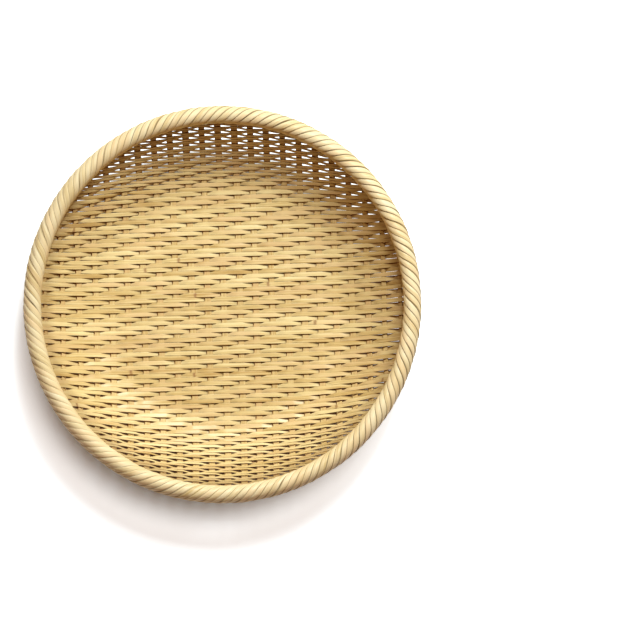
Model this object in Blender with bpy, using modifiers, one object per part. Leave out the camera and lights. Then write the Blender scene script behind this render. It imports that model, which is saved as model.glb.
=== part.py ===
"""A shallow round bamboo basket, woven in two-over-one twill and finished with a strand-bound rim.

Flat ribs run along Y and flat wefts run along X. A weft passes inside two ribs and then outside the
next one, and each row is shifted by one rib. The ribs end between two hoops at the top and bottom of
the plan, the wefts at its left and right, and three strands are wound round both hoops.
Metres, +Z up. The basket stands on z = 0 and is centred on the Z axis.
"""

import functools
import math

import bmesh
import bpy
import numpy as np

# Bowl: a flat base, a shoulder that turns upwards, and a wall that steepens up to the rim.
rim_circle_radius = 0.1138
rim_thickness = 0.0124
base_radius = 0.064
shoulder_radius = 0.088
shoulder_slope_share = 0.62
rim_slope_share = 1.47

# Weave.
rib_pitch = 0.00975
rib_width = 0.004
rib_thickness = 0.0009
rib_tongue_width = 0.002
base_row_pitch = 0.0081
wall_row_pitch = 0.0057
row_gap = 0.0008
weft_thickness = 0.0006
weft_tongue_width = 0.0018
weft_taper = 0.0018
twill_repeat = 3
clearance = 0.0003

# Rim: two hoops with the tongues of the weave between them, and the strands wound round both.
slot_clearance = 0.00045
tongue_depth = 0.0035
strand_thickness = 0.0008
strand_gap = 0.0014
strand_waist_share = 0.5
strand_end_gap = 0.0012
binding_clearance = 0.00045
strand_pitch = 0.0098
strand_count = 3
stations_per_turn = 10
hoop_steps = 48
hoop_arc_points = 6

# Strips that meet the rim within these shares of its radius from their axis are held between the hoops.
held_rib_share = 0.66
held_weft_share = 0.6
chord_tolerance = 0.00005
point_tolerance = 0.0000003
profile_samples = 1200
mm_per_metre = 1000

# Finish of each kind of strip: its colour and its roughness.
rib_finish = (0.66, 0.48, 0.24, 1.0), 0.55
weft_finish = (0.72, 0.53, 0.27, 1.0), 0.5
hoop_finish = (0.6, 0.44, 0.22, 1.0), 0.6
binding_finish = (0.78, 0.66, 0.42, 1.0), 0.45

rim_radius = rim_thickness / 2
weave_offset = (rib_thickness + weft_thickness) / 2 + clearance
base_height = weave_offset + weft_thickness / 2
wall_top_radius = rim_circle_radius - rim_radius
rim_angle = math.atan(rim_slope_share)
half_station_share = math.cos(math.pi / stations_per_turn)
hoop_radius = (rim_radius - strand_thickness) * half_station_share - binding_clearance
slot_half_width = rib_thickness / 2 + slot_clearance
strand_centre_radius = rim_radius - strand_thickness / 2
strand_climb = math.tau * strand_centre_radius / strand_count
strand_width = strand_pitch * strand_climb / math.hypot(strand_pitch, strand_climb) - strand_gap
strand_reach = math.hypot(rim_radius, strand_width / 2)
weave_limit = rim_circle_radius - (strand_reach + clearance) * math.cos(rim_angle)
tongue_tip = rim_circle_radius + tongue_depth * math.cos(rim_angle)
profile_reach = rim_circle_radius + rim_thickness


def wall_slope(radius):
    """Rise over run of the weave's middle surface at a distance from the axis."""
    turn = np.clip((radius - base_radius) / (shoulder_radius - base_radius), 0, 1)
    climb = np.clip((radius - shoulder_radius) / (wall_top_radius - shoulder_radius), 0, 1)
    return shoulder_slope_share * (3 * turn**2 - 2 * turn**3) + (
        rim_slope_share - shoulder_slope_share
    ) * climb


def wall_height(radius):
    """Height of the weave's middle surface, the integral of its slope from the axis outwards."""
    shoulder_run = shoulder_radius - base_radius
    wall_run = wall_top_radius - shoulder_radius
    turn = np.clip((radius - base_radius) / shoulder_run, 0, 1)
    climb = np.clip((radius - shoulder_radius) / wall_run, 0, 1)
    beyond_shoulder = np.maximum(radius - shoulder_radius, 0)
    beyond_wall = np.maximum(radius - wall_top_radius, 0)
    steeper = rim_slope_share - shoulder_slope_share
    return (
        base_height
        + shoulder_slope_share * (shoulder_run * (turn**3 - turn**4 / 2) + beyond_shoulder)
        + steeper * (wall_run * climb**2 / 2 + beyond_wall)
    )


def surface_point(x, y):
    return np.array([x, y, float(wall_height(math.hypot(x, y)))])


def surface_normal(x, y):
    """Unit normal of the weave's middle surface, pointing into the bowl."""
    radius = math.hypot(x, y)
    slope = float(wall_slope(radius))
    outward = np.array([x, y]) / radius if radius > 0 else np.zeros(2)
    normal = np.array([*(-slope * outward), 1.0])
    return normal / np.linalg.norm(normal)


@functools.lru_cache(maxsize=None)
def rib_profile(x):
    """Distances from the X axis and the lengths along the surface to them, in the plane of one x."""
    y = np.linspace(0, math.sqrt(profile_reach**2 - x**2), profile_samples)
    radius = np.hypot(x, y)
    rise = wall_slope(radius) * y / np.maximum(radius, point_tolerance)
    steps = np.hypot(1, (rise[1:] + rise[:-1]) / 2) * np.diff(y)
    return y, np.concatenate([[0], np.cumsum(steps)])


def along_rib(x, length):
    """Point on the surface in the plane of x, at a signed length from the X axis."""
    y, lengths = rib_profile(abs(x))
    return surface_point(x, math.copysign(np.interp(abs(length), lengths, y), length))


def radius_of(point):
    return math.hypot(point[0], point[1])


def unit(vector):
    return vector / np.linalg.norm(vector)


def x_at_radius(length, radius):
    """The x at which a row lying at this length along the ribs is this far from the axis, by halving."""
    low, high = 0, radius
    while high - low > point_tolerance:
        middle = (low + high) / 2
        if radius_of(along_rib(middle, length)) < radius:
            low = middle
        else:
            high = middle
    return low


def row_limits():
    """Lengths along the ribs at which the rows meet, from the middle row's upper edge outwards."""
    limits = [base_row_pitch / 2]
    wall_start, reach = np.interp([(base_radius + shoulder_radius) / 2, weave_limit], *rib_profile(0))
    while True:
        step = wall_row_pitch if limits[-1] > wall_start else base_row_pitch
        if limits[-1] + step > reach:
            return limits
        limits.append(limits[-1] + step)


limits = row_limits()


def row_span(row):
    """The lower and upper edges of a row, as lengths along the ribs, without the gap between rows."""
    upper = limits[abs(row)]
    lower = limits[abs(row) - 1] if row else -upper
    edges = (lower, upper) if row >= 0 else (-upper, -lower)
    return edges[0] + row_gap / 2, edges[1] - row_gap / 2


def rib_x(rib):
    return rib * rib_pitch


def crosses(rib, row):
    """Whether the whole crossing lies inside the bound rim, with room for the weft to narrow."""
    far_x = abs(rib_x(rib)) + rib_width / 2 + clearance
    far_length = row_span(abs(row))[1]
    reach = weave_limit - weft_taper - clearance
    return far_x < reach and radius_of(along_rib(far_x, far_length)) < reach


outer_rib = max(rib for rib in range(math.ceil(weave_limit / rib_pitch)) if crosses(rib, 0))
outer_row = max(row for row in range(len(limits)) if crosses(0, row))


def rib_is_held(rib):
    return abs(rib_x(rib)) < held_rib_share * weave_limit


def last_row(rib):
    return max(row for row in range(outer_row + 1) if crosses(rib, row))


def last_rib(row):
    return max(rib for rib in range(outer_rib + 1) if crosses(rib, row))


def weft_is_held(row):
    beyond = last_rib(row) + 1
    free_way = beyond > outer_rib or not rib_is_held(beyond)
    middle = sum(row_span(row)) / 2
    end = along_rib(x_at_radius(middle, weave_limit), middle)
    return free_way and abs(end[1]) < held_weft_share * weave_limit


def bed_edge(rib, length, edge):
    """Point on the surface just beside a rib, level with a length along it."""
    y = along_rib(rib_x(rib), length)[1]
    return surface_point(rib_x(rib) + edge * (rib_width / 2 + clearance), y)


def bed(rib, length):
    """Middle of the chord that a rib's width makes on the surface, and that chord's direction."""
    left, right = bed_edge(rib, length, -1), bed_edge(rib, length, 1)
    return (left + right) / 2, unit(right - left)


def flat_section(centre, side, normal, width, thickness):
    """Four corners of a flat strip's section, its width along side and its thickness along normal."""
    reach = side * width / 2
    half = normal * thickness / 2
    return [centre - reach - half, centre + reach - half, centre + reach + half, centre - reach + half]


def lofted(name, sections, finish):
    """One closed strip through four-cornered sections, capped at both ends.

    Corners 0 to 3 are a section's and 4 to 7 are the next one's. Both broad faces split along the same
    diagonal, so that a twisted strip keeps its thickness.
    """
    split = [(0, 1, 5), (0, 5, 4), (1, 2, 6), (1, 6, 5), (2, 3, 6), (3, 7, 6), (3, 0, 4), (3, 4, 7)]
    points = np.array(sections).reshape(-1, 3)
    starts = np.arange(0, len(points) - 4, 4)
    walls = (starts[:, None, None] + np.array(split)).reshape(-1, 3)
    caps = [range(4), range(len(points) - 4, len(points))]
    mesh = bpy.data.meshes.new(name)
    mesh.from_pydata(points.tolist(), [], [*walls.tolist(), *(list(cap) for cap in caps)])
    shell = bmesh.new()
    shell.from_mesh(mesh)
    bmesh.ops.recalc_face_normals(shell, faces=shell.faces)
    shell.to_mesh(mesh)
    shell.free()
    return placed(name, mesh, finish)


def placed(name, mesh, finish):
    """An object in the basket's collection, with a bamboo material of its own."""
    piece = bpy.data.objects.new(name, mesh)
    bpy.data.collections["zaru_basket"].objects.link(piece)
    material = bpy.data.materials.new(name)
    material.use_nodes = True
    shader = material.node_tree.nodes["Principled BSDF"]
    shader.inputs["Base Color"].default_value, shader.inputs["Roughness"].default_value = finish
    shader.inputs["Metallic"].default_value = 0
    mesh.materials.append(material)
    return piece


def without_straight_stations(sections):
    """The sections without those that a straight run between their neighbours would pass through."""
    kept = [sections[0]]
    for here, after in zip(sections[1:-1], sections[2:]):
        run = np.array(after) - np.array(kept[-1])
        offset = np.array(here) - np.array(kept[-1])
        share = (offset * run).sum(axis=1) / (run * run).sum(axis=1)
        if np.linalg.norm(offset - run * share[:, None], axis=1).max() > chord_tolerance:
            kept.append(here)
    return [*kept, sections[-1]]


def rib_half_stations(rib):
    """Length along the rib and width, from the X axis to the rib's upper end."""
    end = last_row(rib)
    stations = [(limits[row], rib_width) for row in range(end)]
    stations.append((row_span(end)[1], rib_width))
    if rib_is_held(rib):
        y, lengths = rib_profile(abs(rib_x(rib)))
        for radius in (weave_limit, tongue_tip):
            length = np.interp(math.sqrt(radius**2 - rib_x(rib) ** 2), y, lengths)
            stations.append((length, rib_tongue_width))
    return stations


def make_rib(rib):
    """A rib whose facets are the chords of the rows that cross it."""
    half = rib_half_stations(rib)
    stations = [(-length, width) for length, width in reversed(half)] + half
    beds = [bed(rib, length) for length, _ in stations]
    sections = []
    for number, ((point, across), (_, width)) in enumerate(zip(beds, stations)):
        before = beds[max(number - 1, 0)][0]
        after = beds[min(number + 1, len(beds) - 1)][0]
        normal = unit(np.cross(across, after - before))
        sections.append(flat_section(point, across, normal, width, rib_thickness))
    sections = without_straight_stations(sections)
    return lofted(f"rib_{rib + outer_rib + 1:02d}", sections, rib_finish)


def side_of_rib(rib, row):
    """1 where the weft passes inside the rib, -1 where it passes outside."""
    return -1 if (row - rib) % twill_repeat == 0 else 1


def crossing_section(rib, row, edge):
    """Section of a weft at one edge of a rib, in a plane along the rib's face there."""
    lower, upper = row_span(row)
    (start, start_across), (end, end_across) = bed(rib, lower), bed(rib, upper)
    along = unit(end - start)
    across = start_across + end_across
    across = unit(across - along * np.dot(across, along))
    normal = np.cross(across, along)
    beside = edge * (rib_width / 2 + clearance)
    centre = (start + end) / 2 + across * beside + normal * side_of_rib(rib, row) * weave_offset
    return flat_section(centre, along, normal, np.linalg.norm(end - start), weft_thickness)


def end_section(row, edge, offset, limit):
    """A weft's full width where it nears the rim, each corner at the limit or at the next held rib."""
    beyond = last_rib(row) + 1
    blocked = beyond <= outer_rib and rib_is_held(beyond)
    corners = []
    lower, upper = row_span(row)
    for length in (lower + row_gap, upper - row_gap):
        x = x_at_radius(length, limit)
        if blocked:
            x = min(x, rib_x(beyond) - rib_width / 2 - clearance)
        point = along_rib(edge * x, length)
        corners.append((point, surface_normal(point[0], point[1])))
    (low, low_normal), (high, high_normal) = corners
    inner = offset - weft_thickness / 2
    outer = offset + weft_thickness / 2
    return [
        low + low_normal * inner,
        high + high_normal * inner,
        high + high_normal * outer,
        low + low_normal * outer,
    ]


def weft_section(row, x, width, offset):
    """Section of a weft anywhere along its row, at an offset from the middle surface into the bowl."""
    middle = sum(row_span(row)) / 2
    start, end = along_rib(x, middle - width / 2), along_rib(x, middle + width / 2)
    centre = (start + end) / 2
    along = unit(end - start)
    normal = surface_normal(centre[0], centre[1])
    normal = unit(normal - along * np.dot(normal, along))
    return flat_section(centre + normal * offset, along, normal, width, weft_thickness)


def weft_end(row, edge):
    """Sections past the last rib on one side, from the rib outwards."""
    offset = side_of_rib(edge * last_rib(row), row) * weave_offset
    if not weft_is_held(row):
        return [end_section(row, edge, offset, weave_limit)]
    middle = sum(row_span(row)) / 2
    return [
        end_section(row, edge, offset / 2, weave_limit - weft_taper),
        *(
            weft_section(row, edge * x_at_radius(middle, radius), weft_tongue_width, 0)
            for radius in (weave_limit, tongue_tip)
        ),
    ]


def make_weft(row):
    """A weft with a section at each edge of each rib, where it doesn't run straight on."""
    reach = last_rib(row)
    sections = weft_end(row, -1)[::-1]
    for rib in range(-reach, reach + 1):
        sections.extend(crossing_section(rib, row, edge) for edge in (-1, 1))
    sections.extend(weft_end(row, 1))
    sections = without_straight_stations(sections)
    return lofted(f"weft_{row + outer_row + 1:02d}", sections, weft_finish)


def make_hoop(name, inside):
    """A turned hoop with a half-round section, its flat side along the wall."""
    edge_angle = math.asin(slot_half_width / hoop_radius)
    first = rim_angle + edge_angle + (0 if inside else math.pi)
    angles = np.linspace(first + math.pi - 2 * edge_angle, first, hoop_arc_points)
    centre_height = float(wall_height(rim_circle_radius))
    mesh = bpy.data.meshes.new(name)
    profile = [
        (rim_circle_radius + hoop_radius * math.cos(angle), 0, centre_height + hoop_radius * math.sin(angle))
        for angle in angles
    ]
    edges = [(point, (point + 1) % hoop_arc_points) for point in range(hoop_arc_points)]
    mesh.from_pydata(profile, edges, [])
    hoop = placed(name, mesh, hoop_finish)
    turned = hoop.modifiers.new("Turned", "SCREW")
    turned.steps = hoop_steps
    turned.render_steps = hoop_steps
    turned.use_merge_vertices = True
    turned.merge_threshold = point_tolerance
    turned.use_smooth_shade = False
    return hoop


def tongue_azimuths():
    """Angles round the rim at which a rib or a weft passes under the strands, in order."""
    crossing_radius = rim_circle_radius - strand_centre_radius * math.cos(rim_angle)
    azimuths = []
    for rib in range(-outer_rib, outer_rib + 1):
        if rib_is_held(rib):
            azimuth = math.acos(rib_x(rib) / crossing_radius)
            azimuths.extend([azimuth, -azimuth])
    for row in range(-outer_row, outer_row + 1):
        if weft_is_held(row):
            middle = sum(row_span(row)) / 2
            end = along_rib(x_at_radius(middle, crossing_radius), middle)
            azimuth = math.atan2(end[1], end[0])
            azimuths.extend([azimuth, math.pi - azimuth])
    return sorted(azimuth % math.tau for azimuth in azimuths)


def strand_azimuths():
    """Angles at which the strands pass under the rim: one in each gap, and more in the widest gaps."""
    tongues = tongue_azimuths()
    gaps = [(start, (end - start) % math.tau) for start, end in zip(tongues, tongues[1:] + tongues[:1])]
    turns = round(math.tau * rim_circle_radius / (strand_pitch * strand_count))
    passes = strand_count * max(turns, math.ceil(len(gaps) / strand_count))
    shares = [1] * len(gaps)
    for _ in range(passes - len(gaps)):
        widest = max(range(len(gaps)), key=lambda gap: gaps[gap][1] / shares[gap])
        shares[widest] += 1
    return [
        start + width * (2 * number + 1) / (2 * share)
        for (start, width), share in zip(gaps, shares)
        for number in range(share)
    ]


def rim_point(azimuth, turn, radius):
    """Point at an angle round the rim and an angle round its section, which grows from outside to top."""
    reach = rim_circle_radius + radius * math.cos(turn)
    height = float(wall_height(rim_circle_radius)) + radius * math.sin(turn)
    return np.array([reach * math.cos(azimuth), reach * math.sin(azimuth), height])


def azimuth_at(places, azimuths):
    """Angles round the rim at places counted in passes under it, running on from lap to lap."""
    count = len(azimuths)
    lap = [*azimuths, azimuths[0] + math.tau]
    return np.interp(places % count, np.arange(count + 1), lap) + math.tau * (places // count)


def strand_sections(start, azimuths):
    """Sections of one strand, wound from its first pass under the rim right round to itself.

    It is as wide as the room between its neighbours, less a gap, and narrows to pass between the tongues.
    """
    count = len(azimuths)
    turns = count // strand_count
    cut = strand_end_gap / (2 * math.hypot(strand_pitch, strand_climb))
    places = start + np.linspace(cut, count - cut, turns * stations_per_turn + 1)
    azimuth = azimuth_at(places, azimuths)
    turn = rim_angle + math.pi + math.tau * (places - start) / strand_count
    room = np.minimum(azimuth_at(places + 1, azimuths) - azimuth, azimuth - azimuth_at(places - 1, azimuths))
    room = room * (rim_circle_radius + strand_centre_radius * np.cos(turn))
    full = room * strand_climb / np.hypot(room, strand_climb) - strand_gap
    swell = np.sqrt(np.abs(np.sin(math.pi * (places - start) / strand_count)))
    widths = full * (strand_waist_share + (1 - strand_waist_share) * swell)
    path = np.array([rim_point(a, t, strand_centre_radius) for a, t in zip(azimuth, turn)])
    sections = []
    for number, point in enumerate(path):
        along = unit(path[min(number + 1, len(path) - 1)] - path[max(number - 1, 0)])
        outward = unit(point - rim_point(azimuth[number], turn[number], 0))
        outward = unit(outward - along * np.dot(outward, along))
        across = np.cross(along, outward)
        sections.append(flat_section(point, across, outward, widths[number], strand_thickness))
    return sections


def least_gap(sections):
    """Smallest distance between the points of a strand that are more than half a turn apart."""
    points = np.array(sections)
    apart = stations_per_turn // 2
    least = math.inf
    for number in range(len(points) - apart):
        others = points[number + apart :].reshape(-1, 3)
        for corner in points[number]:
            least = min(least, float(np.linalg.norm(others - corner, axis=1).min()))
    return least


def make_bindings():
    azimuths = strand_azimuths()
    for start in range(strand_count):
        sections = strand_sections(start, azimuths)
        lofted(f"rim_binding_{start + 1}", sections, binding_finish)
        print(f"rim_binding_{start + 1}: least gap to itself {least_gap(sections) * mm_per_metre:.2f} mm")


def main():
    for old in list(bpy.data.objects):
        bpy.data.objects.remove(old, do_unlink=True)
    basket = bpy.data.collections.new("zaru_basket")
    bpy.context.scene.collection.children.link(basket)
    for rib in range(-outer_rib, outer_rib + 1):
        make_rib(rib)
    for row in range(-outer_row, outer_row + 1):
        make_weft(row)
    make_hoop("inner_hoop", inside=True)
    make_hoop("outer_hoop", inside=False)
    make_bindings()


main()
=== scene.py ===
"""Dresses a shallow round bamboo basket: its twill of fine strips, its ribs, its bound rim, and a studio.

Lengths are in metres and +Z is up. The basket stands on z = 0 and is centred on the Z axis. The ribs run
along Y and the rows of weaving along X. Every strip is a surface of two parameters: the length along the
strip and the angle round its section.
"""

from __future__ import annotations

import logging
import math
from dataclasses import dataclass, field
from enum import Enum
from functools import reduce

import bpy
import numpy as np
from mathutils import Matrix, Vector


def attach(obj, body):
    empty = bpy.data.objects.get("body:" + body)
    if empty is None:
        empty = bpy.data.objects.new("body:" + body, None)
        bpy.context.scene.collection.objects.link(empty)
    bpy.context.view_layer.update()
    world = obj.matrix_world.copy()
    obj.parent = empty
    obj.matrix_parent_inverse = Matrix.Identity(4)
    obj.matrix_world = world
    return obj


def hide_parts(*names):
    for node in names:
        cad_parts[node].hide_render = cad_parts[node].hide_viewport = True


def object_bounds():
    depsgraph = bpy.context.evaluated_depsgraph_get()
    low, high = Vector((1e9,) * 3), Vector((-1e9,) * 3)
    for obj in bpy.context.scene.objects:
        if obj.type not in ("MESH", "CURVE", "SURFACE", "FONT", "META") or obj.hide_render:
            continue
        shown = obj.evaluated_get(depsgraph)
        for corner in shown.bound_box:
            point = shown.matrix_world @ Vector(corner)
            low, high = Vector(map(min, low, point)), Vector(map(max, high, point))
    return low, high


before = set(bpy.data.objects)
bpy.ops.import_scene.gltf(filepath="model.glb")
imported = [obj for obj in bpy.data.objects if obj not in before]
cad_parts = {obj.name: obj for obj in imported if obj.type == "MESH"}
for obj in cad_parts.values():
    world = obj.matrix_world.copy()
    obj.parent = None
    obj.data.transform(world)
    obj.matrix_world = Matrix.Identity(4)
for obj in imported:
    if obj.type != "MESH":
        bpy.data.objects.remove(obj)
cad_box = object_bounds()

MILLIMETRE = 0.001
BODY = "root"
UV_NAME = "strip"
TONE_NAME = "tone"
PLACE_NAME = "place"
CREVICE_NAME = "crevice"
FLOAT = "NodeSocketFloat"
VECTOR = "NodeSocketVector"
COLOUR = "NodeSocketColor"
CREVICE_INPUTS = {"Grain": VECTOR, "Crevice": VECTOR, "Place": FLOAT}
STEM_STARTS = (1, 9)

Colour = tuple[float, float, float, float]
log = logging.getLogger("basket")


class Passing(Enum):
    """The side of a rib on which a row of weaving passes it."""

    INSIDE = 1.0
    OUTSIDE = -1.0


class Crevice(Enum):
    """Where a strip has painted shade: along its neighbours' edges, beside a rib, or in the winding's
    grooves.
    """

    ROWS = "crevices between rows"
    RIB = "crevices round a rib"
    WINDING = "grooves of the winding"


class Slot(Enum):
    """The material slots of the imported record, by the kind of strip."""

    RIB = "rib_bamboo"
    WEFT = "weft_bamboo"
    HOOP = "hoop_bamboo"
    BINDING = "binding_bamboo"


def linear(red: int, green: int, blue: int) -> Colour:
    """Turns a colour as it looks on a screen into the shader's linear one.

    Args:
        red: Red as seen, 0 to 255.
        green: Green as seen, 0 to 255.
        blue: Blue as seen, 0 to 255.

    Returns:
        The linear colour with an alpha of one.
    """
    seen = np.array([red, green, blue]) / 255
    low = seen / 12.92
    high = ((seen + 0.055) / 1.055) ** 2.4
    return (*(float(channel) for channel in np.where(seen <= 0.04045, low, high)), 1.0)


def unit(vectors: np.ndarray) -> np.ndarray:
    """Scales each row of an array of vectors to length one."""
    return vectors / np.linalg.norm(vectors, axis=-1, keepdims=True)


def smoothstep(value: np.ndarray, low: float, high: float) -> np.ndarray:
    """Climbs from 0 at low to 1 at high as 3t squared less 2t cubed."""
    t = np.clip((value - low) / (high - low), 0, 1)
    return t * t * (3 - 2 * t)


def lengths_along(path: np.ndarray) -> np.ndarray:
    """The length passed at each point of a path, the sum of its steps so far."""
    steps = np.linalg.norm(np.diff(path, axis=0), axis=1)
    return np.concatenate([[0], np.cumsum(steps)])


@dataclass(frozen=True)
class Play:
    """A slow irregularity along a strip.

    Attributes:
        size: The most that it changes a value, either way.
        stride: Distance between two of its random heights.
    """

    size: float
    stride: float

    def along(self, rng: np.random.Generator, places: np.ndarray) -> np.ndarray:
        """The change at each place: random heights a stride apart, joined by smooth steps.

        Args:
            rng: Source of the random heights.
            places: Lengths or angles along the strip.

        Returns:
            One value for each place.
        """
        steps = (places - places.min()) / self.stride
        knots = rng.uniform(-1, 1, int(steps.max()) + 2)
        index = np.minimum(steps.astype(int), len(knots) - 2)
        share = smoothstep(steps - index, 0, 1)
        return self.size * (knots[index] * (1 - share) + knots[index + 1] * share)


@dataclass(frozen=True)
class Section:
    """The outline of a split strip's section, a rounded oblong of unit width and unit thickness.

    Attributes:
        points: Number of points round the outline.
        side: Power that squares the outline towards its edges; smaller is squarer.
        face: Power that flattens its faces; smaller is flatter.
    """

    points: int
    side: float
    face: float

    def outline(self) -> tuple[np.ndarray, np.ndarray]:
        """Works out the outline: each place is a signed power of a cosine or a sine.

        Returns:
            The outline's places across and up.
        """
        angle = (np.arange(self.points) + 0.5) * math.tau / self.points
        across = np.sign(np.cos(angle)) * np.abs(np.cos(angle)) ** self.side
        up = np.sign(np.sin(angle)) * np.abs(np.sin(angle)) ** self.face
        return across / np.abs(across).max() / 2, up / np.abs(up).max() / 2


@dataclass
class Strip:
    """One strip of bamboo, as arrays with one row for each station along it.

    Attributes:
        path: Its middle line.
        across: Unit vectors across its face.
        outward: Unit vectors square to its face.
        width: Its width.
        thickness: Its thickness, the same all along.
        tone: How dark it is, from 0 to 1.
        start: Where along the stem its grain begins.
        crevice: For a row, how far its neighbours at its upper and lower edge rise over it, each a signed
            share of the most that they can, and how far it is tucked under the rim. For a rib, how far it
            is tucked under the rim, zero, and the number of rows passed along it. Elsewhere zeros.
    """

    path: np.ndarray
    across: np.ndarray
    outward: np.ndarray
    width: np.ndarray
    thickness: float
    tone: np.ndarray
    start: float
    crevice: np.ndarray

    def skin(self, section: Section) -> tuple[np.ndarray, np.ndarray]:
        """Carries the section along the path.

        A point is the path, plus the width times the section's place across, plus the thickness times its
        place up. Its grain coordinates are the length along the strip and the place across.

        Args:
            section: The outline that is carried.

        Returns:
            The points, station by station, and their grain coordinates.
        """
        side, up = section.outline()
        reach = self.width[:, None] * side
        points = (
            self.path[:, None]
            + self.across[:, None] * reach[..., None]
            + self.outward[:, None] * (self.thickness * up)[:, None]
        )
        length = self.start + lengths_along(self.path)
        grain = np.stack([np.broadcast_to(length[:, None], reach.shape), reach], axis=-1)
        return points, grain

    def crevices(self, section: Section) -> np.ndarray:
        """Spreads the crevice values round the section.

        A neighbour that rises on the inner face sinks on the outer one, so the first two values change
        sign there, and what is below zero is left out.

        Args:
            section: The outline that is carried.

        Returns:
            The values at each point.
        """
        face = np.sign(section.outline()[1])[:, None]
        values = np.broadcast_to(self.crevice[:, None], (len(self.path), section.points, 3)).copy()
        values[..., :2] = np.clip(values[..., :2] * face, 0, 1)
        return values


def strip_frame(path: np.ndarray, outward: np.ndarray) -> tuple[np.ndarray, np.ndarray]:
    """Squares the outward vectors to a path and finds the vectors across it.

    Args:
        path: Points of the strip's middle line.
        outward: Rough outward vectors, one for each point.

    Returns:
        The vectors across the strip, and the outward ones square to it.
    """
    along = unit(np.gradient(path, axis=0))
    outward = unit(outward - along * (outward * along).sum(axis=1, keepdims=True))
    return np.cross(outward, along), outward


def lean_over(
    across: np.ndarray, outward: np.ndarray, angle: np.ndarray
) -> tuple[np.ndarray, np.ndarray]:
    """Turns a strip about its own path, so that one edge lies higher than the other.

    Args:
        across: Unit vectors across the strip.
        outward: Unit vectors square to its face.
        angle: How far it turns at each point, in radians.

    Returns:
        The turned vectors: each is one's cosine part and the other's sine part.
    """
    cosine, sine = np.cos(angle)[:, None], np.sin(angle)[:, None]
    return across * cosine + outward * sine, outward * cosine - across * sine


def strip_faces(stations: int, points: int, first: int) -> list[list[int]]:
    """Quads between neighbouring sections and a cap at each end, all facing out.

    Args:
        stations: Number of sections.
        points: Points in each section.
        first: Number of the strip's first point in the mesh.

    Returns:
        The faces as lists of point numbers.
    """
    here = np.arange(points)
    after = (here + 1) % points
    rows = np.arange(stations - 1)[:, None] * points + first
    quads = np.stack([rows + here, rows + after, rows + after + points, rows + here + points], axis=-1)
    last = first + (stations - 1) * points
    caps = [(first + here[::-1]).tolist(), (last + here).tolist()]
    return quads.reshape(-1, 4).tolist() + caps


def placed(mesh: bpy.types.Mesh) -> bpy.types.Object:
    """Puts a mesh in the scene as an object of the same name.

    Args:
        mesh: The mesh, with its place in its points.

    Returns:
        The object, at the origin and unturned.
    """
    piece = bpy.data.objects.new(mesh.name, mesh)
    bpy.context.scene.collection.objects.link(piece)
    return piece


def bundle(name: str, strips: list[Strip], section: Section) -> bpy.types.Object:
    """Makes one piece of several strips, with the grain's UV map and each point's attributes.

    The attributes are the strip's tone, the place across it from -1 to 1, and its crevice values.

    Args:
        name: The piece's name.
        strips: The strips that it holds.
        section: The outline that all of them share.

    Returns:
        The piece.
    """
    points, grains, tones, places, crevices, faces = [], [], [], [], [], []
    count = 0
    across = section.outline()[0] * 2
    for strip in strips:
        skin, grain = strip.skin(section)
        faces.extend(strip_faces(len(strip.path), section.points, count))
        points.append(skin.reshape(-1, 3))
        grains.append(grain.reshape(-1, 2))
        tones.append(np.repeat(strip.tone, section.points))
        places.append(np.tile(across, len(strip.path)))
        crevices.append(strip.crevices(section).reshape(-1, 3))
        count += len(points[-1])
    mesh = bpy.data.meshes.new(name)
    mesh.from_pydata(np.concatenate(points).tolist(), [], faces)
    corners = np.zeros(len(mesh.loops), np.int32)
    mesh.loops.foreach_get("vertex_index", corners)
    grain_map = mesh.uv_layers.new(name=UV_NAME)
    grain_map.data.foreach_set("uv", np.concatenate(grains)[corners].astype(np.float32).ravel())
    for label, kind, key, values in (
        (TONE_NAME, "FLOAT", "value", tones),
        (PLACE_NAME, "FLOAT", "value", places),
        (CREVICE_NAME, "FLOAT_VECTOR", "vector", crevices),
    ):
        attribute = mesh.attributes.new(label, kind, "POINT")
        attribute.data.foreach_set(key, np.concatenate(values).astype(np.float32).ravel())
    mesh.shade_smooth()
    return placed(mesh)


def dress(piece: bpy.types.Object, material: bpy.types.Material, slot: Slot, *nodes: str) -> None:
    """Gives a new piece its finish, seats it on the basket and names the solids that it stands for.

    Args:
        piece: The new piece.
        material: Its finish.
        slot: The record's slot for that finish; not used.
        nodes: Names of the solids that it replaces.
    """
    piece.data.materials.append(material)
    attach(piece, BODY)
    if nodes:
        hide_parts(*nodes)
    log.info("%s: %d faces, for %s", piece.name, len(piece.data.polygons), ", ".join(nodes) or "itself")


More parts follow.
